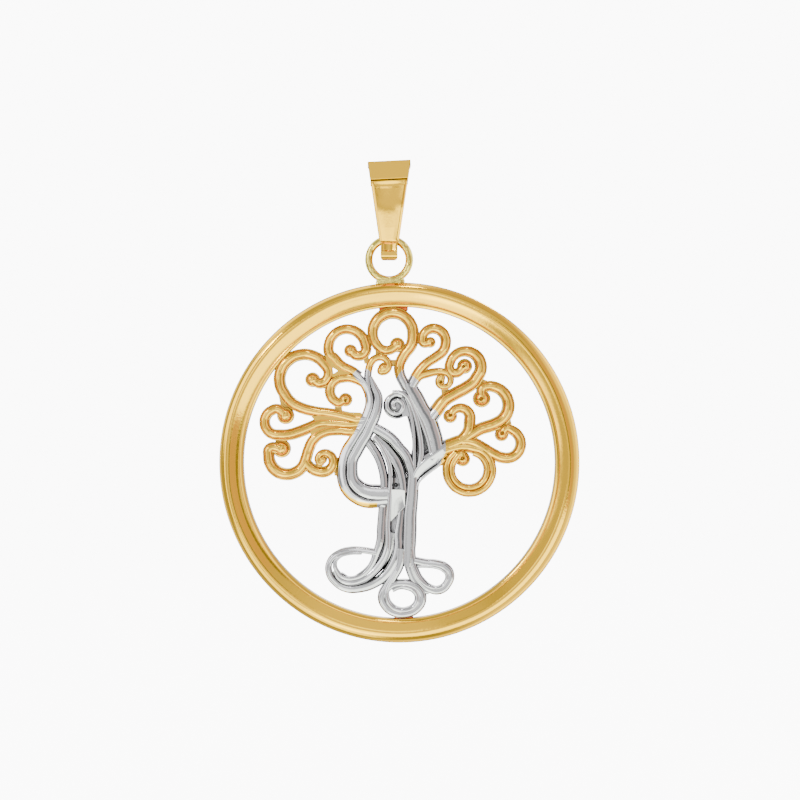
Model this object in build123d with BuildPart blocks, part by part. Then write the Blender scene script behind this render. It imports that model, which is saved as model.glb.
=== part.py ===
from build123d import *
from collections import namedtuple
from math import cos, hypot, radians, sin
import os

os.makedirs("parts", exist_ok=True)

# Frame ring, a round band with a domed front
frame_outer_radius = 12.5
frame_band = 1.69
frame_depth = 1.5
frame_crest_inset = 0.56  # from the outer edge to the highest line of the front
frame_shoulder_drop = 0.62  # from the crest back to where the outer wall starts
frame_dome_drop = 0.2  # from the crest back to the inner crease
frame_dome_swell = 0.07  # how far the front swells between crest and crease
frame_lip = 0.28  # width of the bevel along the inner edge
frame_lip_drop = 0.22
frame_edge_round = 0.12  # chamfer of the two back edges

# Tree, a cast openwork plate with raised bands
tree_depth = 0.95
branch_width = 0.7  # a typical gold scroll
limb_width = 0.7  # a typical band of the white trunk
ridge_share = 0.58  # width of the raised middle of a strand, as a share of its width
ridge_rise = 0.2  # how far the raised middle stands out of the tree's front
spiral_rise = 0.14  # how far the small spiral stands out beyond the other bands
pocket_depth = 0.4  # hollow between two bands of the trunk
steps = 156  # steps in the frame's inner radius, the unit of the places in the tables below

# Hanging ring, soldered to the frame's top a little left of the middle
ring_inner_radius = 1.14
ring_wire = 0.53
ring_lean = 2.9  # degrees left of the frame's top
solder_sink = 0.06  # how far the ring's wire is let into the frame
foot_width = 1.95  # of the solder under the ring
foot_waist = 1.8  # where it meets the ring
foot_height = 0.42
foot_depth = 0.62

# Solder joints between the tree and the frame
joint_reach = 0.34  # from the frame's inner edge towards the tree
joint_sink = 0.12  # into the frame's band
joint_depth = 0.75
SolderJoint = namedtuple("SolderJoint", "angle width")
solder_joints = [SolderJoint(92.2, 2.0), SolderJoint(138.9, 1.65), SolderJoint(271.9, 1.18)]

# Bail, a tapered strap bent into a loop that a chain passes through along X
bail_wall = 0.4
bail_height = 6.9
bail_top_width = 2.98
bail_waist_width = 1.36  # at the lower end of the tapered front plate
bail_toe_width = 1.17  # of the narrower strap below the plate
bail_toe_round = 0.25
bail_top_depth = 2.9  # front to back at the crease
bail_crease_drop = 1.25  # from the top down to the crease across the front
bail_top_setback = 0.45  # how far the top edge stands behind the crease
bail_plate_length = 5.6  # from the top down to the front plate's lower lip
bail_toe = 0.9  # thickness under the ring's wire
plate_step = 0.14  # the strap below the plate stands this far behind its face
wire_clearance = 0.3  # between the bail and the hanging ring's wire

bail_edge_round = 0.04  # of the bail's sharp outer edges
bail_crease_round = 0.1
bail_top_round = 0.3

# Places that follow from the sizes
frame_inner_radius = frame_outer_radius - frame_band
ring_radius = ring_inner_radius + ring_wire / 2
ring_outer_radius = ring_inner_radius + ring_wire
bail_top_z = bail_wall
bail_bottom_z = bail_top_z - bail_height
wire_z = bail_bottom_z + bail_toe + wire_clearance + ring_wire / 2
ring_z = wire_z - ring_radius
ring_to_frame = frame_outer_radius + ring_outer_radius - solder_sink
frame_x = ring_to_frame * sin(radians(ring_lean))
frame_z = ring_z - ring_to_frame * cos(radians(ring_lean))
step = frame_inner_radius / steps
front = Plane(origin=(frame_x, 0, frame_z), x_dir=(1, 0, 0), z_dir=(0, -1, 0))
lean = Plane(origin=(frame_x, 0, frame_z), z_dir=(0, -1, 0),
             x_dir=(cos(radians(ring_lean)), 0, sin(radians(ring_lean))))
tree_back = -tree_depth / 2
tree_front = tree_depth / 2
wire_room = ring_wire / 2 + wire_clearance

# A gold scroll: its stem from the trunk outwards, then a curl round an eye, turning by so many
# degrees while its radius changes, then a neck that leads to a round end. Places count in steps
# from the frame's centre, and widths are shares of branch_width spread evenly along the scroll.
Scroll = namedtuple("Scroll", "name stem eye radii start turn neck ball ball_radius widths")
scrolls = [
    Scroll("great", [(-41, 42), (-54, 46), (-68, 49), (-84, 51), (-99, 55), (-108, 60)],
           (-97, 84), (24.5, 23.4), 220, -212, [(-80, 80)], (-88, 83), 7, (1, 1, 1.1, 1.13, 1.1, 0.95)),
    Scroll("west", [(-49, 38), (-64, 39), (-80, 39), (-90, 35), (-100, 31), (-110, 28)],
           (-122, 41), (13.6, 12.5), 280, -190, [], (-114, 47), 8.7, (1, 1.05, 1.15, 1, 1)),
    Scroll("low west", [(-47, 32), (-62, 32), (-76, 30), (-86, 23), (-91, 13)],
           (-113, 7), (19.6, 18), -8, -172, [(-130, 14)], (-118, 14), 9.3, (0.95, 1, 1.1, 1.2, 0.95)),
    Scroll("west tendril", [(-95, 2), (-88, -6)],
           (-76, 2), (12, 4.5), 250, 330, [], (-77, 3), 4.5, (1, 1.1, 0.8, 0.6)),
    Scroll("inner curl", [(-33, 80), (-42, 83), (-50, 85)],
           (-57, 71), (13.8, 11.8), 88, 165, [(-60, 60)], (-54, 63), 6.8, (0.85, 0.95, 1, 0.9)),
    Scroll("north west", [(-35, 87), (-47, 92), (-58, 97), (-66, 105)],
           (-52.5, 115), (18.6, 18.6), 200, -215, [(-42, 107)], (-49, 112), 6.5, (0.9, 1.05, 0.9, 1.05, 0.95)),
    Scroll("crown", [(3, 77), (0, 89), (0, 97), (5, 108), (12, 118)],
           (-7.5, 129.5), (21.4, 18.6), -8, 253, [(-9, 113)], (-2, 118), 7.5, (1, 1, 1.1, 0.9, 1.1, 0.95, 0.9)),
    Scroll("crown tendril", [(-30, 79), (-31, 89)],
           (-18, 96), (11, 4.5), 150, -250, [], (-15.5, 94.5), 5.8, (0.7, 0.7, 0.7)),
    Scroll("north east", [(11, 75), (16, 85), (21, 93), (28, 100), (37, 106), (44, 112)],
           (34, 122.5), (13.6, 8.8), -18, 215, [], (32, 120.5), 4.8, (1.1, 0.95, 1.03, 1, 0.8)),
    Scroll("east hook", [(15, 77), (20, 85), (28, 89), (38, 91)],
           (44, 82), (8.6, 4.2), 85, -330, [], (41.5, 80.5), 4, (0.8, 0.8, 0.6, 0.6)),
    Scroll("east", [(28, 39), (36, 51), (45, 62), (56, 69), (67, 75), (75, 81)],
           (66.5, 95.5), (15.5, 14.8), -42, 232, [(56, 90)], (65, 96), 6.8, (1.4, 1.25, 1.25, 1.15, 0.92, 0.94)),
    Scroll("east middle", [(32, 7), (46, 15), (55, 19), (64, 23), (72, 28), (80, 33)],
           (90, 57.5), (19.8, 18.8), -72, 172, [(83, 74)], (82.5, 64), 9, (1.7, 1.4, 1.15, 1.25, 1.2, 1.1, 0.95)),
    Scroll("east tendril", [(60, 21), (69, 31)],
           (61, 44.5), (10, 10), -15, 150, [], (51, 46.5), 7, (1, 1.2, 1, 0.8)),
    Scroll("far east", [(62, 22), (74, 20), (85, 14), (95, 8)],
           (107, 18.5), (14.1, 15), 260, 165, [(107, 34)], (102.5, 28), 6.8, (1, 1.1, 1.1, 1.05, 1, 0.9)),
    Scroll("south east", [(52, 14), (66, 16), (74, 13)],
           (70, -7.5), (21, 20.4), 60, -285, [], (64, 3.5), 7.5, (1.2, 1.35, 1.2, 1.4, 1.2, 0.9)),
]

# A band of the white trunk: places in steps along its middle, widths as shares of limb_width
Band = namedtuple("Band", "name places widths")
bands = [
    Band("outer limb", [(-38, 91), (-35, 82), (-31, 72), (-30, 62), (-32, 52), (-37, 42), (-43, 31), (-51, 19),
                        (-57, 7), (-60, -4), (-59, -15), (-53, -26), (-43, -34), (-31, -37), (-18, -38)],
         (0.9, 1.05, 1.1, 1.15, 1)),
    Band("inner limb", [(-29, 80), (-23, 69), (-22, 58), (-24, 48), (-29, 37), (-36, 25), (-44, 12), (-48, 1),
                        (-48, -10), (-44, -20), (-36, -27), (-25, -31), (-14, -30)], (0.9, 1, 1, 1.05, 1.05)),
    Band("left trunk", [(-32, 24), (-23, 13), (-17, 1), (-14, -12), (-13, -27), (-14, -42), (-15, -57), (-18, -71),
                        (-22, -85), (-29, -98), (-38, -109), (-50, -117), (-61, -112)], (0.85, 0.95, 0.95, 0.8)),
    Band("left root", [(-50, -117), (-61, -112), (-64, -102), (-58, -93), (-47, -90), (-35, -90), (-22, -90)],
         (0.8, 0.8, 0.8)),
    Band("middle trunk", [(-24, 26), (-9, 14), (1, 1), (4, -13), (4, -29), (1, -45), (-2, -61), (-3, -77), (-8, -94),
                          (-18, -109), (-30, -119), (-44, -124), (-57, -122)], (1, 1.05, 1.05, 1.1, 1.05)),
    Band("middle root", [(-44, -124), (-57, -122), (-67, -113), (-69, -102), (-63, -93), (-52, -89), (-39, -89),
                         (-24, -90)], (1.05, 0.95, 0.85)),
    Band("right trunk", [(-20, 33), (-9, 24), (1, 13), (9, 0), (13, -14), (13, -29), (11, -44), (10, -59), (9, -74),
                         (9, -88), (5, -100)], (1.2, 1.2, 1.2, 1.2)),
    Band("right limb", [(7, 84), (12, 74), (17, 62), (23, 50), (29, 37), (33, 24), (34, 12), (29, 0), (21, -9),
                        (15, -19)], (1.35, 1.3, 1.4, 1.4)),
    Band("middle limb", [(9, 72), (14, 58), (19, 43), (22, 28), (22, 13), (18, -2), (14, -17)], (0.8, 0.85, 0.85)),
    Band("left limb", [(8, 59), (11, 43), (14, 28), (14, 13), (12, 0)], (0.7, 0.75, 0.75)),
    Band("bottom stem", [(2, -84), (0, -98), (-6, -112), (-13, -125), (-15, -136), (-10, -146), (3, -150)],
         (1, 1.2, 1.3, 1)),
    Band("bottom root", [(-10, -146), (3, -150), (16, -146), (21, -135), (17, -125), (7, -122), (-4, -123)],
         (1, 1.1, 1)),
    Band("right stem", [(10, -81), (12, -94), (17, -107), (26, -119), (36, -125), (46, -122)], (1, 1, 1)),
    Band("right root", [(36, -125), (46, -122), (50, -112), (45, -103), (33, -98), (21, -98), (11, -96)],
         (1, 1, 0.9)),
    Band("lower root", [(6, -92), (12, -110), (18, -123), (28, -128), (38, -127)], (0.85, 0.85, 0.75)),
]
spiral = Scroll("spiral", [(12, 65)], (-3, 57), (14.3, 3), 60, 620, [], (-3, 57), 2.4, (0.5, 0.5, 0.45, 0.4))

# Webs left by the casting between neighbours: place in steps, radius as a share of branch_width
Web = namedtuple("Web", "place radius")
webs = [
    Web((-88, 45), 0.4), Web((-94, 26), 0.5), Web((-116, 61), 0.45), Web((-62, 56), 0.4), Web((-76, 77), 0.45),
    Web((27, 116), 0.42), Web((57, 84), 0.42), Web((45, 73), 0.42), Web((51, 111), 0.35), Web((85, 79), 0.35),
    Web((110, 42), 0.35), Web((43, 2), 0.45), Web((-34, 104), 0.45), Web((-18, 110), 0.4), Web((3, 113), 0.35),
    Web((-6, 100), 0.35), Web((20, 131), 0.35), Web((-120, 24), 0.35), Web((-66, -1), 0.5), Web((-64, -12), 0.4),
]
# Lower metal that closes the trunk between its raised bands, as shares of limb_width
fillers = [
    Band("trunk floor", [(-23, 28), (-14, 14), (-7, 0), (-4, -17), (-5, -37), (-7, -57), (-10, -77), (-16, -95)],
         (1.4, 1.9, 2.1, 1.9, 1.4)),
    Band("root floor", [(-8, -74), (-12, -90), (-22, -104), (-35, -114), (-49, -119), (-60, -114)],
         (1.5, 1.4, 1.1, 0.8)),
]
curl_step = 45  # degrees between the places worked out along a curl
pocket_place = (-3, -17)
pocket_size = (0.7, 2.4)  # width and height of the hollow, as shares of limb_width
spiral_disc = 0.88  # the plate behind the spiral, as a share of the spiral's radius


def curl(scroll, turn_step):
    # Places along the curl, from the end of the stem to the neck
    count = max(2, round(abs(scroll.turn) / turn_step))
    places = []
    for number in range(count + 1):
        share = number / count
        angle = radians(scroll.start + scroll.turn * share)
        radius = scroll.radii[0] + (scroll.radii[1] - scroll.radii[0]) * share
        places.append((scroll.eye[0] + radius * cos(angle), scroll.eye[1] + radius * sin(angle)))
    return places


def smooth(places):
    # The places with one more between each two, on a curve that passes through all of them
    first = (2 * places[0][0] - places[1][0], 2 * places[0][1] - places[1][1])
    last = (2 * places[-1][0] - places[-2][0], 2 * places[-1][1] - places[-2][1])
    padded = [first] + places + [last]
    result = []
    for before, here, there, after in zip(padded, padded[1:], padded[2:], padded[3:]):
        result.append(here)
        result.append(tuple((9 * (p + q) - o - r) / 16 for o, p, q, r in zip(before, here, there, after)))
    result.append(places[-1])
    return result


def width_at(widths, share):
    # The width there, blended between the evenly spread widths of the table
    place = share * (len(widths) - 1)
    index = min(int(place), len(widths) - 2)
    blend = place - index
    return widths[index] + (widths[index + 1] - widths[index]) * blend


def banks(places, widths, unit):
    # The two sides of a strand in millimetres, and its last half width
    route = [(x * step, z * step) for x, z in smooth(places)]
    spans = [hypot(b[0] - a[0], b[1] - a[1]) for a, b in zip(route, route[1:])]
    left, right, run = [], [], 0
    for index, (x, z) in enumerate(route):
        behind = route[max(index - 1, 0)]
        ahead = route[min(index + 1, len(route) - 1)]
        length = hypot(ahead[0] - behind[0], ahead[1] - behind[1])
        half = unit * width_at(widths, run / sum(spans)) / 2
        across = ((behind[1] - ahead[1]) / length * half, (ahead[0] - behind[0]) / length * half)
        left.append((x + across[0], z + across[1]))
        right.append((x - across[0], z - across[1]))
        if index < len(spans):
            run += spans[index]
    return left, right, half


def bends(side):
    # Arcs through each three points of a side, or a line where they are nearly straight
    for start, middle, end in zip(side[0::2], side[1::2], side[2::2]):
        chord = hypot(end[0] - start[0], end[1] - start[1])
        area = (middle[0] - start[0]) * (end[1] - start[1]) - (middle[1] - start[1]) * (end[0] - start[0])
        if abs(area) < 0.01 * chord * chord:
            Line(start, end)
        else:
            ThreePointArc(start, middle, end)


def strand(places, widths, unit):
    # One strand's two faces, which meet half way, square at its root and round at its end
    left, right, half = banks(places, widths, unit)
    end = ((left[-1][0] + right[-1][0]) / 2, (left[-1][1] + right[-1][1]) / 2)
    across = ((left[-1][0] - end[0]) / half, (left[-1][1] - end[1]) / half)
    tip = (end[0] + across[1] * half, end[1] - across[0] * half)
    middle = len(places) // 2 * 2
    with BuildLine() as near:
        bends(left[:middle + 1])
        Line(left[middle], right[middle])
        bends(right[middle::-1])
        Line(right[0], left[0])
    with BuildLine() as far:
        bends(left[middle:])
        ThreePointArc(left[-1], tip, right[-1])
        bends(right[:middle - 1:-1])
        Line(right[middle], left[middle])
    return [make_face(sides.line, mode=Mode.PRIVATE) for sides in (near, far)]


def disc(spot, radius):
    # A round face at a spot in millimetres
    with BuildSketch() as face:
        with Locations(spot):
            Circle(radius)
    return face.sketch


def round_end(scroll, unit, share):
    # The neck and the round end of a scroll, as discs joined by straight necks
    half = unit * scroll.widths[-1] * share / 2
    places = [curl(scroll, curl_step)[-1]] + scroll.neck + [scroll.ball]
    halves = [half] * (len(places) - 1) + [scroll.ball_radius * step * share]
    spots = [(x * step, z * step) for x, z in places]
    faces = []
    for (a, half_a), (b, half_b) in zip(zip(spots, halves), zip(spots[1:], halves[1:])):
        length = hypot(b[0] - a[0], b[1] - a[1])
        across = ((a[1] - b[1]) / length, (b[0] - a[0]) / length)
        corners = [(a[0] + across[0] * half_a, a[1] + across[1] * half_a),
                   (b[0] + across[0] * half_b, b[1] + across[1] * half_b),
                   (b[0] - across[0] * half_b, b[1] - across[1] * half_b),
                   (a[0] - across[0] * half_a, a[1] - across[1] * half_a)]
        with BuildLine() as neck:
            Polyline(*corners, close=True)
        faces.append(make_face(neck.line, mode=Mode.PRIVATE))
        faces.append(disc(b, half_b))
    return faces


def tree_outline(share):
    # The faces of all gold scrolls and white bands, each at this share of its width
    faces = []
    for scroll in scrolls:
        faces.extend(strand(scroll.stem + curl(scroll, curl_step), scroll.widths, branch_width * share))
        faces.extend(round_end(scroll, branch_width, share))
    for band in bands:
        faces.extend(strand(band.places, band.widths, limb_width * share))
    return faces


with BuildPart() as frame_ring:
    with BuildSketch(Plane(origin=(frame_x, 0, frame_z), x_dir=(1, 0, 0), z_dir=(0, 0, 1))):
        with BuildLine():
            crest = (frame_outer_radius - frame_crest_inset, -frame_depth / 2)
            shoulder = (frame_outer_radius, crest[1] + frame_shoulder_drop)
            crease = (frame_inner_radius + frame_lip, crest[1] + frame_dome_drop)
            lip = (frame_inner_radius, crease[1] + frame_lip_drop)
            shoulder_swell = ((crest[0] + 2 * shoulder[0]) / 3, (2 * crest[1] + shoulder[1]) / 3)
            dome_swell = ((crest[0] + crease[0]) / 2, (crest[1] + crease[1]) / 2 - frame_dome_swell)
            ThreePointArc(shoulder, shoulder_swell, crest)
            ThreePointArc(crest, dome_swell, crease)
            Polyline(crease, lip, (frame_inner_radius, frame_depth / 2 - frame_edge_round),
                     (frame_inner_radius + frame_edge_round, frame_depth / 2),
                     (frame_outer_radius - frame_edge_round, frame_depth / 2),
                     (frame_outer_radius, frame_depth / 2 - frame_edge_round), shoulder)
        make_face()
    revolve(axis=Axis((frame_x, 0, frame_z), (0, 1, 0)))

with BuildPart() as tree:
    with BuildSketch(front.offset(tree_back)):
        add(tree_outline(1))
        for filler in fillers:
            add(strand(filler.places, filler.widths, limb_width))
        with Locations((spiral.eye[0] * step, spiral.eye[1] * step)):
            Circle(spiral.radii[0] * step * spiral_disc)
        for web in webs:
            with Locations((web.place[0] * step, web.place[1] * step)):
                Circle(web.radius * branch_width)
    extrude(amount=tree_depth)
    with BuildSketch(front.offset(tree_front)):
        add(tree_outline(ridge_share))
    extrude(amount=ridge_rise)
    with BuildSketch(front.offset(tree_front)):
        add(strand(spiral.stem + curl(spiral, curl_step), spiral.widths, limb_width))
        add(disc((spiral.ball[0] * step, spiral.ball[1] * step), spiral.ball_radius * step))
    extrude(amount=ridge_rise + spiral_rise)
    with BuildSketch(front.offset(tree_front + ridge_rise)):
        with Locations((pocket_place[0] * step, pocket_place[1] * step)):
            Rectangle(pocket_size[0] * limb_width, pocket_size[1] * limb_width)
    extrude(amount=-pocket_depth, mode=Mode.SUBTRACT)

with BuildPart() as hanging_ring:
    with BuildSketch(Plane.XY.offset(ring_z)):
        with Locations((ring_radius, 0)):
            Circle(ring_wire / 2)
    revolve(axis=Axis((0, 0, ring_z), (0, 1, 0)))

with BuildPart() as solder:
    with BuildSketch(lean.offset(-foot_depth / 2)):
        with BuildLine():
            low = frame_outer_radius - foot_height / 3
            high = frame_outer_radius + foot_height
            bend = (foot_waist / 2, (low + high) / 2)
            ThreePointArc((-foot_width / 2, low), (-bend[0], bend[1]), (-foot_waist / 2, high))
            Line((-foot_waist / 2, high), (foot_waist / 2, high))
            ThreePointArc((foot_waist / 2, high), bend, (foot_width / 2, low))
            Line((foot_width / 2, low), (-foot_width / 2, low))
        make_face()
    extrude(amount=foot_depth)
    for joint in solder_joints:
        with BuildSketch(front.offset(-joint_depth / 2)):
            with PolarLocations(frame_inner_radius + (joint_sink - joint_reach) / 2, 1, start_angle=joint.angle):
                Rectangle(joint_reach + joint_sink, joint.width)
        extrude(amount=joint_depth)

with BuildPart() as framed_tree:
    add([frame_ring.part, tree.part, hanging_ring.part, solder.part])
framed_tree.part.label = "framed_tree"
export_step(framed_tree.part, "parts/framed_tree.step")

with BuildPart() as bail:
    # Side view: the front leans back above its crease, and the strap turns under the ring's wire
    crease_y = bail_top_depth / 2
    crease_z = bail_top_z - bail_crease_drop
    top_y = crease_y - bail_top_setback
    lip_y = wire_room + bail_wall
    lip_z = bail_top_z - bail_plate_length
    toe_y = lip_y - plate_step
    bail_side_rounds = [bail_top_round, bail_crease_round, bail_edge_round, bail_edge_round, 0.9 * toe_y,
                        0.9 * toe_y, bail_edge_round, bail_crease_round, bail_top_round]
    bail_hollow_rounds = [bail_top_round / 2, bail_crease_round, bail_edge_round, 0.9 * wire_room,
                          0.9 * wire_room, bail_edge_round, bail_crease_round, bail_top_round / 2]
    bail_front_rounds = [2 * bail_edge_round, bail_edge_round, bail_edge_round, bail_toe_round,
                         bail_toe_round, bail_edge_round, bail_edge_round, 2 * bail_edge_round]
    with BuildSketch(Plane.YZ.offset(-bail_top_width / 2)):
        with BuildLine():
            FilletPolyline((-top_y, bail_top_z), (-crease_y, crease_z), (-lip_y, lip_z), (-toe_y, lip_z),
                           (-toe_y, bail_bottom_z), (toe_y, bail_bottom_z), (toe_y, lip_z), (crease_y, crease_z),
                           (top_y, bail_top_z), radius=bail_side_rounds, close=True)
        make_face()
        with BuildLine():
            FilletPolyline((bail_wall - top_y, 0), (bail_wall - crease_y, crease_z), (-wire_room, wire_z),
                           (-wire_room, wire_z - wire_room), (wire_room, wire_z - wire_room), (wire_room, wire_z),
                           (crease_y - bail_wall, crease_z), (top_y - bail_wall, 0),
                           radius=bail_hollow_rounds, close=True)
        make_face(mode=Mode.SUBTRACT)
    extrude(amount=bail_top_width)
    # Front view: the plate tapers downwards, and the toe is narrower
    with BuildSketch(Plane.XZ.offset(-bail_top_depth)):
        with BuildLine():
            FilletPolyline((-bail_top_width / 2, bail_top_z), (-bail_waist_width / 2, lip_z),
                           (-bail_toe_width / 2, lip_z), (-bail_toe_width / 2, bail_bottom_z),
                           (bail_toe_width / 2, bail_bottom_z), (bail_toe_width / 2, lip_z),
                           (bail_waist_width / 2, lip_z), (bail_top_width / 2, bail_top_z),
                           radius=bail_front_rounds, close=True)
        make_face()
    extrude(amount=2 * bail_top_depth, mode=Mode.INTERSECT)
bail.part.label = "bail"
export_step(bail.part, "parts/bail.step")
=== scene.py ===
import bpy
from math import atan2, cos, hypot, pi, radians, sin
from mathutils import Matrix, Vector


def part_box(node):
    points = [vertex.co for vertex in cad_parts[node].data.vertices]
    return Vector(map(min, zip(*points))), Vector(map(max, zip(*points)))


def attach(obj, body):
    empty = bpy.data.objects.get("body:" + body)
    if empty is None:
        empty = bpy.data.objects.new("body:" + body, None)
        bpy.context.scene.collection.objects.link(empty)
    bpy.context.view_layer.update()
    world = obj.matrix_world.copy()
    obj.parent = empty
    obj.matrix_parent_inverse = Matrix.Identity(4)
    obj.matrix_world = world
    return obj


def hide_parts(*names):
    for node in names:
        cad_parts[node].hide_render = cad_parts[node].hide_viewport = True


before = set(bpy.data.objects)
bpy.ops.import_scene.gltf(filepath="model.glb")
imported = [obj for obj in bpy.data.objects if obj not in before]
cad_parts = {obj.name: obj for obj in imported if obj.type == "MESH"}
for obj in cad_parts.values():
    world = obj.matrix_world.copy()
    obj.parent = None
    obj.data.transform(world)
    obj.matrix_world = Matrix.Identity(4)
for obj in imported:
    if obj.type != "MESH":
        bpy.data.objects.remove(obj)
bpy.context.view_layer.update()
treeLow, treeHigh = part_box("framed_tree")

# Everything is modelled in millimetres round the frame's centre, x to the right, y up and z towards
# the viewer, and then stood up and set down in metres where the CAD model has it
mm = 0.001
# vertices closer together than this are merged
mergeWithin = {"spun": 0.0001, "strand": 0.000001, "strap": 0.0005, "crumbs": 0.0002}
frameRing = {
    "outerRadius": (treeHigh.x - treeLow.x) / 2 / mm,
    "band": 1.69,
    "depth": 1.5,
    "crestInset": 0.66,  # from the outer edge to the highest line of the front
    "shoulderDrop": 0.62,  # from there back to the outer wall
    "turn": 103,  # degrees that the rounded edge turns before the face runs straight
    "domeDrop": 0.18,  # from the highest line back to the inner crease
    "swell": 0.008,
    "lip": 0.28,
    "lipDrop": 0.12,
    "lipInset": 0.03,  # from the inner wall to the lip's edge
    "lipSwell": 0.02,
    "lipEdge": 0.1,  # from the lip's edge back to the inner wall
    # across and forward from the crease: the face's end, the groove, its far side and the lip's start
    "creasePlaces": [(0.04, 0.012), (0, -0.03), (-0.03, -0.012), (-0.05, -0.005)],
    # the two rounded edges of the back: in from the wall and forward from the back
    "outerBack": [(0.15, 0), (0.06, 0.04), (0, 0.14)],
    "innerBack": [(0, 0.14), (0.05, 0.04), (0.14, 0)],
    "edgeSteps": 20,
    "faceSteps": 12,
    "lipSteps": 5,
    "steps": 320,
    "smooth": 30,  # degrees below which an edge is shaded smooth
    # how far hand polishing has moved the dome: millimetres, waves round the ring, degrees of the
    # first crest
    "waves": [(0.03, 1, 335), (0.009, 3, 20), (0.005, 7, 75), (0.003, 13, 40)],
}
frameCentre = ((treeLow.x + treeHigh.x) / 2, 0, treeLow.z + frameRing["outerRadius"] * mm)
innerRadius = frameRing["outerRadius"] - frameRing["band"]
stepSize = innerRadius / 156  # the tables count places in steps, 156 from the middle to the frame


def pick(*pieces):
    # Selects just these, and makes the first one active
    bpy.ops.object.select_all(action="DESELECT")
    for piece in pieces:
        piece.select_set(True)
    bpy.context.view_layer.objects.active = pieces[0]


def added(name):
    # The object just added, under its name
    bpy.context.object.name = name
    return bpy.context.object


def editAll(piece):
    pick(piece)
    bpy.ops.object.mode_set(mode="EDIT")
    bpy.ops.mesh.select_all(action="SELECT")


def leaveEdit():
    bpy.ops.object.mode_set(mode="OBJECT")


def faceOutward():
    # Turns every face outward and leaves edit mode
    bpy.ops.mesh.select_all(action="SELECT")
    bpy.ops.mesh.normals_make_consistent(inside=False)
    leaveEdit()


def applyModifiers(piece):
    pick(piece)
    for modifier in list(piece.modifiers):
        bpy.ops.object.modifier_apply(modifier=modifier.name)


def standUp(piece, origin=frameCentre):
    # From the drawing plane to the upright pendant, in metres, with its place in its mesh
    pick(piece)
    piece.rotation_euler = (pi / 2, 0, 0)
    piece.location = origin
    piece.scale = (mm, mm, mm)
    bpy.ops.object.transform_apply(location=True, rotation=True, scale=True)


def spinProfile(name, profile, steps, centre=(0, 0)):
    # Turns a profile of (radius, height) once round
    bpy.ops.mesh.primitive_circle_add(vertices=len(profile), radius=1)
    piece = added(name)
    for vertex, (radius, height) in zip(piece.data.vertices, profile):
        vertex.co = (centre[0] + radius, centre[1], height)
    editAll(piece)
    bpy.ops.mesh.spin(steps=steps, angle=2 * pi, center=(centre[0], centre[1], 0), axis=(0, 0, 1))
    bpy.ops.mesh.select_all(action="SELECT")
    bpy.ops.mesh.remove_doubles(threshold=mergeWithin["spun"])
    bpy.ops.mesh.delete_loose()
    faceOutward()
    return piece


def fuse(name, parts, operation="UNION"):
    # One closed body from the first part and the rest
    others = bpy.data.collections.new(name + "Parts")
    bpy.context.scene.collection.children.link(others)
    for part in parts[1:]:
        others.objects.link(part)
    pick(parts[0])
    bpy.ops.object.modifier_add(type="BOOLEAN")
    modifier = parts[0].modifiers[-1]
    modifier.operation = operation
    modifier.operand_type = "COLLECTION"
    modifier.collection = others
    modifier.solver = "MANIFOLD"
    applyModifiers(parts[0])
    pick(*parts[1:])
    bpy.ops.object.delete()
    bpy.data.collections.remove(others)
    parts[0].name = name
    return parts[0]


def dropCrumbs(piece):
    # Merges the tiny faces that bevels and cuts leave
    editAll(piece)
    bpy.ops.mesh.remove_doubles(threshold=mergeWithin["crumbs"])
    bpy.ops.mesh.dissolve_degenerate(threshold=mergeWithin["crumbs"])
    leaveEdit()


def smoothShade(piece, degrees):
    pick(piece)
    bpy.ops.object.shade_smooth_by_angle(angle=radians(degrees))


# Frame ring: a domed front between a rolled outer edge and a fine bevelled lip
print("frame ring")


def arcPlaces(start, swell, end, count):
    # A shallow arc between two profile places, swollen by so much at its middle
    places = []
    for number in range(count + 1):
        share = number / count
        lift = swell * 4 * share * (1 - share)
        across = (end[1] - start[1], start[0] - end[0])
        length = hypot(*across)
        places.append((start[0] + (end[0] - start[0]) * share + across[0] / length * lift,
                       start[1] + (end[1] - start[1]) * share + across[1] / length * lift))
    return places


def makeFrameRing():
    ring = frameRing
    outer = ring["outerRadius"]
    front = ring["depth"] / 2
    back = -front
    crease = (innerRadius + ring["lip"], front - ring["domeDrop"])
    faceEnd, groove, grooveSide, lipStart = [(crease[0] + across, crease[1] + forward)
                                             for across, forward in ring["creasePlaces"]]
    lip = (innerRadius + ring["lipInset"], crease[1] - ring["lipDrop"])
    profile = [(outer - inset, back + forward) for inset, forward in ring["outerBack"]]
    for number in range(ring["edgeSteps"] + 1):
        angle = radians(ring["turn"] * number / ring["edgeSteps"])
        profile.append((outer - ring["crestInset"] * (1 - cos(angle)),
                        front - ring["shoulderDrop"] * (1 - sin(angle))))
    profile += arcPlaces(profile[-1], -ring["swell"], faceEnd, ring["faceSteps"])[1:]
    profile += [groove, grooveSide]
    profile += arcPlaces(lipStart, -ring["lipSwell"], lip, ring["lipSteps"])
    profile.append((innerRadius, lip[1] - ring["lipEdge"]))
    profile += [(innerRadius + inset, back + forward) for inset, forward in ring["innerBack"]]
    piece = spinProfile("frameRing", profile, ring["steps"])
    for vertex in piece.data.vertices:
        reach = (hypot(vertex.co.x, vertex.co.y) - crease[0]) / (outer - crease[0])
        if vertex.co.z > 0 and 0 < reach < 1:
            angle = atan2(vertex.co.y, vertex.co.x)
            wave = sum(size * cos(count * (angle - radians(start))) for size, count, start in ring["waves"])
            vertex.co.z += wave * sin(2 * pi * reach)
    smoothShade(piece, ring["smooth"])
    standUp(piece)
    return piece


frameRingPiece = makeFrameRing()

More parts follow.
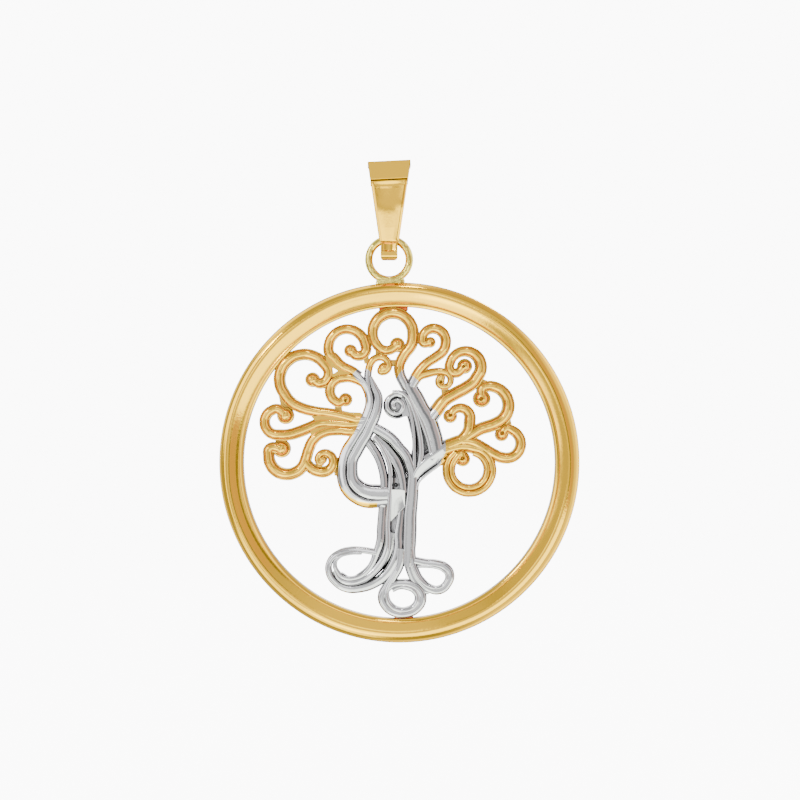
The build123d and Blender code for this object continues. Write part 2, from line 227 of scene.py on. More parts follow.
# Sections of the strands: across in half widths, then down from the crest in half widths
scrollHalf = [(0.12, -0.005), (0.24, -0.022), (0.35, -0.058), (0.45, -0.115), (0.54, -0.2), (0.61, -0.31),
              (0.65, -0.44), (0.68, -0.56), (0.71, -0.61), (0.75, -0.61), (0.78, -0.55), (0.82, -0.5),
              (0.9, -0.52), (0.95, -0.61), (0.98, -0.78), (1, -1), (1.02, -2), (1.04, -20)]
bandHalf = [(0.2, -0.006), (0.4, -0.022), (0.56, -0.05), (0.66, -0.09), (0.72, -0.15), (0.76, -0.26),
            (0.785, -0.4), (0.8, -0.54), (0.82, -0.56), (0.85, -0.47), (0.89, -0.44), (0.93, -0.46),
            (0.965, -0.56), (0.99, -0.8), (1.01, -2), (1.03, -20)]
ridgeHalf = [(0.17, -0.015), (0.34, -0.06), (0.5, -0.13), (0.64, -0.23), (0.77, -0.36), (0.87, -0.51),
             (0.95, -0.7), (0.99, -0.9), (1, -1.1), (1.03, -3), (1.06, -30)]
sideStart = -2  # from here down a section is a straight side, which stays level when the top slopes


def emptyCurve(name, dimensions):
    bpy.ops.curve.primitive_bezier_curve_add()
    curve = added(name)
    curve.data.dimensions = dimensions
    curve.data.splines.clear()
    return curve


def sectionCurve(name, half, slope=0):
    # A closed section for the curves to carry, with its top sloping to one side
    section = emptyCurve(name, "2D")
    outline = [(-x, y) for x, y in reversed(half)] + [(0, 0)] + half
    outline = [(x, y + slope * x if y > sideStart else y) for x, y in outline]
    spline = section.data.splines.new("POLY")
    spline.points.add(len(outline) - 1)
    spline.use_cyclic_u = True
    for point, place in zip(spline.points, outline):
        point.co = (place[0], place[1], 0, 1)
    return section


sections = {
    "scroll": sectionCurve("scrollSection", scrollHalf),
    "band": sectionCurve("bandSection", bandHalf),
    "ridge": sectionCurve("ridgeSection", ridgeHalf),
    "bandEast": sectionCurve("bandEastSection", bandHalf, 0.1),
    "bandBright": sectionCurve("bandBrightSection", bandHalf, 0.26),
    "bandWest": sectionCurve("bandWestSection", bandHalf, -0.36),
}
buttonHalves = {"scroll": scrollHalf, "band": bandHalf}
tree = {
    "back": -0.475,  # of the casting, from its middle
    "crest": 0.675,  # the usual front of a strand
    "through": 2,  # half the height of a block that cuts right through
    "curveSteps": 8,
    "buttonSteps": 28,
    "buttonFlare": 1.01,  # how much wider a round end is at the back
    "smooth": 38,
}


def spread(values, share):
    # The value there, blended between values spread evenly over a strand
    place = share * (len(values) - 1)
    index = min(int(place), len(values) - 2)
    return values[index] + (values[index + 1] - values[index]) * (place - index)


def strand(name, places, widths, section, lifts=(0, 0)):
    # A strand through the places: widths in millimetres and lifts above the usual crest
    curve = emptyCurve(name, "3D")
    curve.data.twist_mode = "Z_UP"
    curve.data.bevel_mode = "OBJECT"
    curve.data.bevel_object = sections[section]
    curve.data.use_fill_caps = True
    curve.data.resolution_u = tree["curveSteps"]
    spans = [hypot(b[0] - a[0], b[1] - a[1]) for a, b in zip(places, places[1:])]
    spline = curve.data.splines.new("BEZIER")
    spline.bezier_points.add(len(places) - 1)
    run = 0
    for index, (point, place) in enumerate(zip(spline.bezier_points, places)):
        share = run / sum(spans)
        point.co = (place[0] * stepSize, place[1] * stepSize, tree["crest"] + spread(lifts, share))
        point.handle_left_type = "AUTO"
        point.handle_right_type = "AUTO"
        point.radius = spread(widths, share) / 2
        if index < len(spans):
            run += spans[index]
    pick(curve)
    bpy.ops.object.convert(target="MESH")
    strip = bpy.context.object
    editAll(strip)
    bpy.ops.mesh.remove_doubles(threshold=mergeWithin["strand"])
    leaveEdit()
    for vertex in strip.data.vertices:
        vertex.co.z = max(vertex.co.z, tree["back"])
    editAll(strip)
    faceOutward()
    return strip


def button(name, place, radius, section, lift=0):
    # A round end with the strand's own section, spun round
    crest = tree["crest"] + lift
    profile = [(0, crest)]
    for across, down in buttonHalves[section]:
        height = crest + down * radius
        if height > tree["back"]:
            profile.append((across * radius, height))
            last = (across, down)
    profile += [(last[0] * radius * tree["buttonFlare"], tree["back"]), (0, tree["back"])]
    return spinProfile(name, profile, tree["buttonSteps"], (place[0] * stepSize, place[1] * stepSize))


# Branches: each scroll runs along its stem, curls round its eye, and ends in a ball
print("branches")
branches = {
    "width": 0.72,
    "curlStep": 30,
    "ballLift": 0.03,
    # lower runs of metal inside a scroll: eye, radii, start, turn, width in millimetres and lift
    "floors": [((70, -7.5), (20.5, 20.5), 70, -330, 0.5, -0.3)],
}
scrolls = [
    # name, stem, eye, radii, start, turn, neck, ball, ball radius, widths
    ("great", [(-31, 44), (-41, 43), (-54, 46), (-68, 49), (-84, 51), (-99, 55), (-108, 60)],
     (-95, 83.4), (25.2, 24.8), 220, -208, [(-78, 79.5)], (-87, 83), 7.4, (1, 1, 1.1, 1.13, 1.1, 1)),
    ("west", [(-34, 40), (-49, 38), (-64, 39), (-80, 39), (-90, 35), (-100, 31), (-110, 28)],
     (-122, 41), (13.6, 12.5), 280, -190, [], (-114, 47), 8.7, (1, 1.05, 1.15, 1, 1)),
    ("lowWest", [(-39, 31), (-48, 31), (-62, 32), (-76, 30), (-86, 23), (-91, 13)],
     (-113, 7), (19.6, 18), -8, -172, [(-130, 14)], (-118, 14), 9.3, (0.95, 1, 1.1, 1.2, 0.95)),
    ("westTendril", [(-95, 2), (-88, -6)],
     (-76, 2), (12, 4.5), 250, 330, [], (-77, 3), 4.5, (1, 1.1, 0.8, 0.6)),
    ("innerCurl", [(-36, 79.5), (-43, 83), (-50, 85)],
     (-57, 71), (13.8, 11.8), 88, 165, [(-60, 60)], (-54, 63), 6.8, (0.85, 0.95, 1, 0.9)),
    ("northWest", [(-40, 86.5), (-47, 91.5), (-58, 97), (-66, 105)],
     (-52.5, 115), (18.6, 18.6), 200, -215, [(-42, 107)], (-49, 112), 6.5,
     (0.9, 1.05, 0.9, 1.05, 0.95)),
    ("crown", [(8, 74), (4.5, 80), (0.5, 89), (0, 97), (5, 108), (12, 118)],
     (-7.5, 129.5), (21.4, 18.6), -8, 253, [(-9, 113)], (-2, 118), 7.5,
     (1, 1, 1.15, 1.1, 1.15, 0.95, 0.9)),
    ("crownTendril", [(-30.5, 72), (-31.5, 80), (-31.5, 89)],
     (-18, 96), (11, 4.5), 150, -250, [], (-15.5, 94.5), 5.8, (0.7, 0.7, 0.7)),
    ("northEast", [(11, 75), (13.5, 80), (17, 87), (21, 93), (28, 100), (37, 106), (44, 112)],
     (32.8, 122.5), (14.2, 9.2), -18, 215, [], (31, 120.5), 5.4, (1.1, 0.95, 1.03, 1, 0.8)),
    ("eastHook", [(13, 76), (16, 81), (20, 86), (28, 89), (38, 91)],
     (44, 82), (8.6, 4.2), 85, -330, [], (41.5, 80.5), 4, (0.8, 0.8, 0.6, 0.6)),
    ("east", [(28, 38), (31, 44), (37, 52), (45, 62), (56, 69), (67, 75), (75, 81)],
     (66, 95.8), (15.8, 15.6), -42, 232, [(56, 89.5)], (65.5, 96.5), 7.6,
     (1.4, 1.25, 1.25, 1.15, 0.92, 0.94)),
    ("eastMiddle", [(26, 2), (36, 9), (46, 15), (55, 19), (64, 23), (72, 28), (80, 33)],
     (90, 57.5), (19.8, 18.8), -72, 172, [(83, 74)], (82.5, 64), 9,
     (1.7, 1.4, 1.15, 1.25, 1.2, 1.1, 0.95)),
    ("eastTendril", [(60, 21), (69, 31)],
     (61, 44.5), (10, 10), -15, 150, [], (51, 46.5), 7, (1, 1.2, 1, 0.8)),
    ("farEast", [(62, 22), (74, 20), (85, 14), (95, 8)],
     (107, 18.5), (14.1, 15), 260, 165, [(107, 34)], (102.5, 28), 6.8, (1, 1.1, 1.1, 1.05, 1, 0.9)),
    ("southEastStem", [(38, 8), (52, 14), (66, 16), (76, 14)],
     (70, -7.5), (23, 23), 60, -60, [], None, 5, (1.2, 1.2, 0.8)),
    ("southEast", [],
     (70, -7.5), (23.4, 23), 30, -262, [], None, 5, (0.75, 0.7, 0.75, 0.7)),
    ("southEastInner", [],
     (70, -7.5), (17.8, 17.8), 75, -320, [], (63.5, 3.5), 7.5, (0.62, 0.7, 0.7, 0.7, 0.8)),
]


def curlPlaces(eye, radii, start, turn, turnStep):
    count = max(2, round(abs(turn) / turnStep))
    places = []
    for number in range(count + 1):
        share = number / count
        angle = radians(start + turn * share)
        radius = radii[0] + (radii[1] - radii[0]) * share
        places.append((eye[0] + radius * cos(angle), eye[1] + radius * sin(angle)))
    return places


def scrollParts(row):
    # The strand of one scroll, through its neck to the ball at its end
    name, stem, eye, radii, start, turn, neck, ball, ballRadius, widths = row
    places = stem + curlPlaces(eye, radii, start, turn, branches["curlStep"]) + neck
    if ball:
        places.append(ball)
    parts = [strand(name, places, [branches["width"] * share for share in widths], "scroll")]
    if ball:
        parts.append(button(name + "Ball", ball, ballRadius * stepSize, "scroll", branches["ballLift"]))
    return parts


# Trunk, limbs and roots: bands that run side by side, widths in steps
print("trunk")
spiral = {"eye": (-3, 57), "radii": (11.4, 2.2), "start": 60, "turn": 560, "turnStep": 30,
          "widths": (0.36, 0.288), "lifts": (0.06, 0.1), "disc": 13.4, "discLift": -0.18}
# the plated area, drawn a little inside the left limb's outer wall
plated = [
    (-47.4, 87.9), (-41.9, 93.4), (-36.4, 95.9), (-29.9, 91.9), (-25.4, 87.4), (-13.4, 79.4),
    (-9.4, 75.4), (-4.2, 82.6), (2.6, 92.4), (7.6, 94.9), (10.1, 87.4), (14.3, 86), (21.2, 79.6),
    (27.6, 68.4), (33.1, 53.9), (36.6, 52.4), (40.5, 46.8), (43.6, 35.4), (46.1, 23.2), (46.3, 11.1),
    (37.6, -8.6), (25.6, -22.6), (24.6, -76.6), (70.6, -88.6), (70.6, -166.6), (-89.4, -166.6),
    (-89.4, -76.6), (-27.4, -81.6), (-21.9, -40.1), (-29.4, -40.4), (-41.4, -38.4), (-49.7, -34.2),
    (-57.9, -25.2), (-62.2, -16.6), (-62.6, -6.6), (-60.8, 2.4), (-56.4, 12.8), (-49.9, 21.9),
    (-44.9, 30.4), (-40.6, 39.4), (-36.4, 48.9), (-33.4, 59.4), (-33, 67.4), (-35.4, 74.9), (-40.9, 81.4),
]
bands = [
    # name, section, places, widths, lifts
    ("outerLimb", "bandWest",
     [(-46, 91), (-39, 83), (-33.5, 75), (-30.5, 67), (-30, 58), (-33, 48), (-37, 39), (-43, 29),
      (-48, 21), (-53, 13), (-56, 5), (-58, -7), (-57, -18), (-53, -28), (-43, -37), (-33, -41),
      (-22, -41), (-12, -40)], (7, 8.5, 9, 9, 9, 10, 10, 10.5, 10, 9, 8), (-0.02, -0.02)),
    ("innerLimb", "band",
     [(-29, 86), (-25.5, 76), (-21.5, 66), (-22, 57), (-25, 46), (-29, 37), (-33, 28), (-38, 20),
      (-43, 11), (-47, 3), (-48, -7), (-47, -17), (-42, -24), (-34, -29), (-22, -31), (-10, -31)],
     (3, 8, 9.5, 11.5, 12, 12, 12.5, 12, 12, 14, 16, 17.5, 17.5), (0.02, 0.02)),
    ("middleTrunk", "band",
     [(-30, 37), (-22, 33), (-15, 29), (-7, 23), (0, 15), (6, 8), (10, -1), (13, -10), (13, -23),
      (12, -37), (10.5, -52), (10, -67), (9.5, -82), (9, -95), (8, -104)],
     (10.5, 11, 10, 10, 10.5, 12, 13.5, 14, 14.5, 15, 14, 9), (-0.12, -0.02, 0, 0.02, 0.02)),
    ("darkBandTop", "bandEast", [(-25, 27), (-20, 22), (-14, 15), (-7, 6), (-2, -2), (2, -14), (4.5, -30)],
     (5, 11, 12, 9, 8), (-0.2, -0.12, -0.06)),
    ("darkBand", "bandEast",
     [(2, -46), (1, -57), (-1, -72), (-1, -86), (-5, -100), (-13, -112), (-25, -121), (-40, -126),
      (-53, -126), (-64, -120), (-70.5, -110), (-69.5, -99), (-61, -91), (-49, -87.5), (-35, -88),
      (-23, -90)], (7, 10, 10.5, 10.5, 10, 9, 8, 7, 6.5, 6, 6, 6), (-0.3, -0.05, -0.04, -0.04, -0.04)),
    ("brightRidge", "ridge",
     [(-26, 26), (-20, 19), (-15, 10), (-11, 1), (-9, -9), (-9, -22), (-10, -34), (-11, -49),
      (-12, -64), (-11.5, -77), (-13, -89), (-19, -101), (-28, -111), (-39, -118), (-51, -120),
      (-60, -116), (-65, -108)], (4.5, 5, 5, 5, 5, 5, 6, 7, 8, 9, 9, 7, 4), (-0.05, 0.03, 0.03, 0)),
    ("leftTrunk", "bandEast",
     [(-33, 23), (-27, 15), (-21, 5), (-17, -7), (-15, -22), (-16, -37), (-17, -52), (-18, -66),
      (-19, -79), (-23, -91), (-27, -101), (-34, -110), (-44, -115.5), (-54, -115.5), (-62, -109.5),
      (-64.5, -101), (-60, -94), (-50, -90.5), (-38, -90)],
     (9, 9, 8.5, 8.5, 9, 9.5, 8, 5.5, 4, 4, 4, 4), (-0.22, -0.12, -0.08, -0.04, 0, 0.02)),
    ("rightStem", "band",
     [(10, -80), (12, -96), (16, -110), (22, -119.5), (31, -126.5), (41, -127.5), (48.5, -121),
      (51, -111.5), (46.5, -105), (37, -101.5), (27, -100.5), (15, -98)],
     (12, 9.5, 9, 8.5, 8, 8, 8, 7.5, 7), (0, 0)),
    ("rightInner", "ridge",
     [(13, -102), (17, -112), (23, -119.5), (31, -124.5), (40, -125), (46, -120), (47.5, -113),
      (43.5, -107.5), (36, -104.5), (27, -103.5), (18, -103.5)], (3.4, 3.4, 3.4, 3.4), (0.03, 0.03)),
    ("lowerRoot", "band", [(8, -93), (11, -108), (16, -119), (23, -127), (30, -129)],
     (10, 9, 8, 6), (-0.12, -0.12)),
    ("bottomStem", "band",
     [(2, -86), (0, -102), (-6, -114), (-12.5, -124.5), (-17, -134.5), (-13.5, -143.5), (-5, -149.5),
      (7.5, -150.5), (18, -145.5), (22.8, -136), (20, -127.5), (12, -122), (3, -120.5), (-6, -122),
      (-13, -127)], (11, 10, 9.5, 9.5, 9.5, 9.5, 9.5, 9, 9, 8, 7, 6.5), (0, -0.02, 0)),
    ("bottomInner", "ridge",
     [(-3, -108), (-8, -118), (-12, -127), (-12.5, -135), (-9, -142.5), (-1, -147.5), (8, -147.5),
      (15.5, -143), (18, -135.5), (15, -128.5), (8, -125), (0, -124.5), (-7, -127.5)],
     (3, 5, 5.5, 5.5, 5.5, 4.5), (0.03, 0.05, 0.03)),
    ("thinLimb", "ridge", [(5, 68), (9, 58), (12, 46), (14, 33), (14.7, 20), (14.7, 8), (15, -6)],
     (4, 3.5, 3.5, 3.5, 4), (-0.02, -0.02)),
    ("secondLimb", "ridge",
     [(8, 67), (12.5, 57), (16.5, 45), (19.5, 32), (21.5, 18), (21.5, 6), (19, -8), (14, -20)],
     (6, 5.5, 5.5, 6, 7, 6), (0, 0.02, 0.02, -0.05)),
    ("thirdLimb", "ridge", [(11, 65), (17, 53), (22, 41), (26.5, 29), (30, 17), (31.5, 9)],
     (4, 4.5, 4.5, 4), (0, 0, -0.02)),
    ("broadLimb", "bandEast",
     [(9, 79.5), (11, 75), (16, 66), (22.5, 54), (29, 42.5), (33, 31), (36, 20), (37, 10), (33, 2)],
     (13, 16, 15, 15, 17, 17, 17, 15, 12), (0, 0.04, 0.02)),
    ("limbFloor", "band", [(8, 66), (14, 50), (19, 36), (22, 22), (22, 8), (17, -8)],
     (10, 14, 17, 18, 20, 18), (-0.42, -0.42)),
    ("saddle", "bandBright", [(45, 11), (37, 5), (28, -1.5), (20, -9), (15, -17)],
     (14, 16, 16, 13, 7), (0, 0, -0.03)),
    ("saddleRim", "ridge", [(45, 3), (40, -2), (32, -8), (25, -13.5), (19.5, -19.5), (17.5, -27)],
     (3, 3, 3, 2.5), (0.02, 0.02)),
    ("rootFloor", "band", [(-8, -70), (-14, -92), (-24, -105), (-36, -115), (-49, -120), (-60, -114)],
     (16, 16, 12, 9), (-0.24, -0.24)),
    ("floor", "band", [(-23, 26), (-11, 13), (-2, -2), (-1, -22), (-3, -47), (-5, -72), (-11, -97)],
     (10, 14, 16, 18, 18, 18), (-0.6, -0.6)),
    ("spiralBridge", "ridge", [(-6, 70.5), (1, 70), (7, 66), (11, 60), (14, 52)],
     (4, 4.5, 5), (0.08, 0.04)),
    ("westFan", "ridge", [(-38, 41), (-50, 44.5), (-64, 45), (-78, 46)], (9, 9, 7, 5), (-0.12, -0.16)),
    ("westFanMiddle", "ridge", [(-38, 38), (-48, 37), (-58, 36.5), (-70, 37)], (3, 3, 2), (-0.06, -0.1)),
    ("westFanLow", "band", [(-40, 34), (-52, 34), (-64, 35.5), (-76, 36)], (9, 8, 8, 5), (-0.14, -0.16)),
]


joins = {
    "webLift": -0.46,
    # holes through the plates
    "holes": [[(-67, 95), (-61.5, 91.8), (-66.2, 88.8)]],
    # small pits in the eyes of the curls and beside the trunk's bands: place and radius in steps, depth
    "pits": [(-3.6, -22.5, 4, 1), (-4.8, -14, 2.6, 1), (-3.4, 94.4, 2.2, 0.3), (81.6, 63.4, 2.4, 0.3),
             (50.6, 47.4, 2.2, 0.3), (102.6, 29.4, 2.4, 0.3), (63, 4, 2.4, 0.3), (41.5, 80.5, 1.8, 0.3),
             (64, 96, 1.8, 0.3), (33, 119, 1.6, 0.3), (-54, 62, 1.6, 0.3), (-96.4, 23.4, 2, 0.3)],
    "pitSteps": 20,
    # shares of a pit's radius and depth, and millimetres above the crest
    "pitProfile": [(0, 1, 0), (0.5, 0.8, 0), (1, 0, 0.02), (1.2, 0, 0.3), (0, 0, 0.3)],
}
# plates between strands: name, outline, lift, how steeply it falls away down from its first corner
plates = [
    ("triangleWeb", [(-74, 108), (-71, 87), (-60, 84), (-44, 91), (-60, 99)], -0.13, 0),
    ("spiralWeb", [(1, 71), (12, 75), (15, 60), (13, 47), (3, 45.5)], -0.14, 0),
    ("facet", [(-9.5, -27), (-10, -60), (5.5, -44), (5.5, -28), (1, -27)], -0.01, 0.17),
    ("westPlate", [(-88, 46), (-60, 51), (-38, 50), (-36, 33), (-62, 32), (-80, 37)], -0.14, 0),
    ("lowWestPlate", [(-89, 33), (-64, 39), (-60, 31), (-78, 28), (-88, 23)], -0.16, 0),
]
# outlines of the low webs where strands touch
webs = [
    [(-121, 67), (-112, 61), (-105, 54), (-113, 53), (-119, 58)],
    [(-64, 59), (-58, 59), (-57, 50), (-66, 50)],
    [(-79, 80), (-71, 83), (-69, 75), (-76, 74)],
    [(-67, 5), (-60, 5), (-60, -14), (-65, -13)],
    [(-125, 29), (-113, 28), (-113, 20), (-124, 20)],
    [(-37, 108), (-31, 108), (-30, 99), (-35, 99)],
    [(-24, 112), (-12, 113), (-12, 107), (-24, 106)],
    [(-9, 103), (-2, 103), (-1, 97), (-8, 96)],
    [(41, 78), (49, 77), (50, 66), (43, 64)],
    [(80, 85), (88, 82), (87, 74), (80, 76)],
    [(104, 47), (111, 45), (113, 36), (106, 36)],
    [(40, 7), (48, 6), (47, -3), (41, -3)],
]


def prism(name, outline, low, high, fall=0):
    # A straight-sided block over an outline given in steps, its top falling away from the first corner
    bpy.ops.mesh.primitive_circle_add(vertices=len(outline), radius=1, fill_type="NGON")
    block = added(name)
    for vertex, place in zip(block.data.vertices, outline):
        vertex.co = (place[0] * stepSize, place[1] * stepSize, low)
    editAll(block)
    bpy.ops.mesh.extrude_region_move(TRANSFORM_OT_translate={"value": (0, 0, high - low)})
    faceOutward()
    for vertex in block.data.vertices:
        if vertex.co.z > (low + high) / 2:
            vertex.co.z += fall * (vertex.co.y - outline[0][1] * stepSize)
    return block


def makeJoins():
    back = tree["back"]
    crest = tree["crest"]
    parts = [prism(name, outline, back, crest + lift, fall) for name, outline, lift, fall in plates]
    parts += [prism("web", outline, back, crest + joins["webLift"]) for outline in webs]
    return parts


def makePits():
    # The blocks and cones that are taken out of the casting
    tools = [prism("hole", outline, -tree["through"], tree["through"]) for outline in joins["holes"]]
    for number, (x, y, radius, depth) in enumerate(joins["pits"]):
        profile = [(radius * stepSize * wide, tree["crest"] - depth * deep + rise)
                   for wide, deep, rise in joins["pitProfile"]]
        centre = (x * stepSize, y * stepSize)
        tools.append(spinProfile("pit" + str(number), profile, joins["pitSteps"], centre))
    return tools


def makeTree():
    parts = makeJoins()
    for row in scrolls:
        parts += scrollParts(row)
    for eye, radii, start, turn, width, lift in branches["floors"]:
        places = curlPlaces(eye, radii, start, turn, branches["curlStep"])
        parts.append(strand("floor", places, (width, width), "ridge", (lift, lift)))
    for name, section, places, widths, lifts in bands:
        parts.append(strand(name, places, [width * stepSize for width in widths], section, lifts))
    parts.append(button("spiralDisc", spiral["eye"], spiral["disc"] * stepSize, "band", spiral["discLift"]))
    coil = curlPlaces(spiral["eye"], spiral["radii"], spiral["start"], spiral["turn"], spiral["turnStep"])
    parts.append(strand("spiral", coil, spiral["widths"], "ridge", spiral["lifts"]))
    return fuse("treePitted", [fuse("tree", parts)] + makePits(), "DIFFERENCE")


def makePlatedArea():
    # A slab of the plated outline, to cut the casting in two colours
    return prism("platedArea", plated, -tree["through"], tree["through"])


treeWhole = makeTree()
pick(treeWhole)
bpy.ops.object.duplicate()
goldTree = bpy.context.object
trunkPiece = fuse("trunkAndRoots", [treeWhole, makePlatedArea()], "INTERSECT")
branchPiece = fuse("branches", [goldTree, makePlatedArea()], "DIFFERENCE")
for piece in (trunkPiece, branchPiece):
    dropCrumbs(piece)
    smoothShade(piece, tree["smooth"])
    standUp(piece)

# Hanging ring and its solder
print("hanging ring and solder")
hangingRing = {
    "outerRadius": 1.67,
    "wire": 0.53,
    "lean": 2.9,  # degrees left of the frame's top
    "smooth": 60,
}
solder = {
    "foot": (2.02, 0.62, 0.56),  # width, height and depth
    "footRise": 0.06,
    "footBevel": 0.14,
    "footTaper": 0.12,
    "footSaddle": (0.14, 0.5),  # how deep the ring sinks in, and how far to each side
    "footRoughness": 0.12,
    "footSmooth": 50,
    "joints": [
        # degrees round the frame, width, reach inwards
        (92.2, 2.0, 0.34),
        (138.9, 1.65, 0.36),
        (271.6, 1.3, 0.42),
    ],
    "jointDepth": 0.72,
    "jointSink": 0.06,  # how far a joint runs into the frame's wall
    "jointBevel": 0.12,
    "jointRoughness": 0.06,
    "jointSmooth": 60,
    "lumpSize": 0.2,
}


def makeHangingRing():
    wire = hangingRing["wire"] / 2
    height = treeHigh.z / mm - hangingRing["outerRadius"]
    bpy.ops.mesh.primitive_torus_add(major_segments=128, minor_segments=32,
                                     major_radius=hangingRing["outerRadius"] - wire, minor_radius=wire)
    piece = added("hangingRing")
    smoothShade(piece, hangingRing["smooth"])
    standUp(piece, (0, 0, height * mm))
    return piece


def roughen(piece, strength):
    # Small lumps of metal that ran and set
    lumps = bpy.data.textures.new(piece.name + "Lumps", type="CLOUDS")
    lumps.noise_scale = solder["lumpSize"]
    lumps.noise_depth = 3
    pick(piece)
    bpy.ops.object.modifier_add(type="DISPLACE")
    modifier = piece.modifiers[-1]
    modifier.texture = lumps
    modifier.texture_coords = "LOCAL"
    modifier.strength = strength
    modifier.mid_level = 0.5
    applyModifiers(piece)


def solderBlock(name, size, bevel, segments, cuts):
    # A block with rounded edges, and faces enough to be roughened
    bpy.ops.mesh.primitive_cube_add(size=1)
    block = added(name)
    block.scale = size
    bpy.ops.object.transform_apply(location=False, rotation=False, scale=True)
    editAll(block)
    bpy.ops.mesh.bevel(offset=bevel, segments=segments)
    bpy.ops.mesh.select_all(action="SELECT")
    bpy.ops.mesh.subdivide(number_cuts=cuts)
    leaveEdit()
    return block


def settle(block, turn, angle, reach, roughness, smooth):
    # Turns the block, sets it in its place round the frame, roughens it and shades it
    block.rotation_euler = (0, 0, turn)
    block.location = (reach * cos(angle), reach * sin(angle), 0)
    bpy.ops.object.transform_apply(location=True, rotation=True, scale=True)
    roughen(block, roughness)
    smoothShade(block, smooth)


def makeFoot():
    # Under the hanging ring: a lump of solder with two shoulders, spread along the frame's edge
    foot = solderBlock("solderFoot", solder["foot"], solder["footBevel"], segments=4, cuts=7)
    halfHeight = solder["foot"][1] / 2
    saddleDepth, saddleReach = solder["footSaddle"]
    for vertex in foot.data.vertices:
        if vertex.co.y > 0:
            vertex.co.x *= 1 - solder["footTaper"] * vertex.co.y / halfHeight
            vertex.co.y -= saddleDepth * max(0, 1 - abs(vertex.co.x) / saddleReach)
    reach = frameRing["outerRadius"] + solder["footRise"]
    angle = radians(90 + hangingRing["lean"])
    settle(foot, angle - pi / 2, angle, reach, solder["footRoughness"], solder["footSmooth"])
    standUp(foot)
    return foot


def makeJoint(angle, width, reach):
    # A flat run of solder between the frame's inner wall and the tree
    sink = solder["jointSink"]
    size = (reach + 2 * sink, width, solder["jointDepth"])
    joint = solderBlock("solderJoint", size, solder["jointBevel"], segments=3, cuts=6)
    middle = innerRadius - reach / 2 + sink
    turn = radians(angle)
    settle(joint, turn, turn, middle, solder["jointRoughness"], solder["jointSmooth"])
    return joint


ringPiece = makeHangingRing()
footPiece = makeFoot()
jointPieces = [makeJoint(*row) for row in solder["joints"]]
pick(*jointPieces)
bpy.ops.object.join()
jointPiece = added("solderJoints")
standUp(jointPiece)

# Bail: a tapered strap bent round, with a dished front plate and a narrower toe
print("bail")
bail = {
    # towards the viewer, up, and the round of that corner, from the plate's lip over the top to the toe
    "path": [(0.965, -5.2, 0.03), (0.99, -5.1, 0.1), (1.14, -4.3, 5), (1.4, -2.8, 9), (1.42, -1.6, 1.5),
             (1.405, -1.05, 0.02), (1.28, -0.98, 0.01), (1.455, -0.95, 0.03), (1.31, -0.2, 2),
             (1.2, 0.33, 0.08), (-1.0, 0.33, 0.34), (-1.45, -0.85, 0.12), (-0.825, -5.2, 0.1),
             (-0.825, -6.5, 0.74), (0.845, -6.5, 0.72), (0.86, -5.8, 0.3), (0.7, -5.24, 0.02)],
    "wall": 0.4,
    "topHalf": 1.49,
    "waistHalf": 0.68,
    "toeHalf": 0.585,
    "toeRound": 0.25,
    "top": 0.4,
    "crease": -1.06,
    "lip": -5.2,
    "bottom": -6.5,
    "tilt": 0.05,  # the crease rises to the right by this share of its width
    "tiltFade": 1.2,  # below the crease, the height over which that tilt fades
    "dish": 0.035,  # how far the front plate's middle is sunk
    "dishFade": 0.3,
    "toeDish": 0.13,
    "toeDishEnds": (0.6, 0.02),  # above the bottom and below the lip
    "toeDishShare": 0.8,  # of the toe's width
    "lipReach": (0.005, 0.01),  # how far below the lip the strap is still wide, and the plate shaped
    "rim": 0.19,  # width of the bright bevel along the plate's sides
    "rimShares": (0.3, 0.76, 0.46),  # of that width: the chamfer, where the bevel ends, and the bevel itself
    "rimRows": (0, 0.3, 0.75),
    "bevel": 0.03,  # how far that bevel falls
    "step": 0.045,  # how far the plate lies behind it
    "chamfer": 0.08,  # how far the plate's outer edge stands back behind it
    "spacing": 0.08,  # between the rows along the strap
    "cornerSteps": 6,
    "cornerShare": 0.48,  # the most of a straight run that a corner's arc takes
    "columns": 16,  # between the rims
    "edgeBevel": 0.035,
    "edgeAngle": 75,  # degrees from which an edge is bevelled
    "smooth": 32,
}


def roundCorners(path, steps):
    # The closed path with each corner turned into a short arc
    rounded = []
    for index, (u, v, radius) in enumerate(path):
        before = path[index - 1]
        after = path[(index + 1) % len(path)]
        inward = (u - before[0], v - before[1])
        onward = (after[0] - u, after[1] - v)
        inLength = hypot(*inward)
        outLength = hypot(*onward)
        inward = (inward[0] / inLength, inward[1] / inLength)
        onward = (onward[0] / outLength, onward[1] / outLength)
        turn = atan2(inward[0] * onward[1] - inward[1] * onward[0],
                     inward[0] * onward[0] + inward[1] * onward[1])
        side = 1 if turn > 0 else -1
        slant = abs(sin(turn / 2) / cos(turn / 2))
        most = bail["cornerShare"] * min(inLength, outLength)
        cut = min(radius * slant, most)
        radius = cut / slant
        centre = (u - inward[0] * cut - inward[1] * radius * side,
                  v - inward[1] * cut + inward[0] * radius * side)
        start = atan2(v - inward[1] * cut - centre[1], u - inward[0] * cut - centre[0])
        for number in range(steps + 1):
            angle = start + turn * number / steps
            rounded.append((centre[0] + radius * cos(angle), centre[1] + radius * sin(angle)))
    return rounded


def spacedAlong(path, spacing):
    # More places along the straight runs of a closed path
    places = []
    for index, here in enumerate(path):
        there = path[(index + 1) % len(path)]
        count = max(1, round(hypot(there[0] - here[0], there[1] - here[1]) / spacing))
        for number in range(count):
            share = number / count
            places.append((here[0] + (there[0] - here[0]) * share, here[1] + (there[1] - here[1]) * share))
    return places


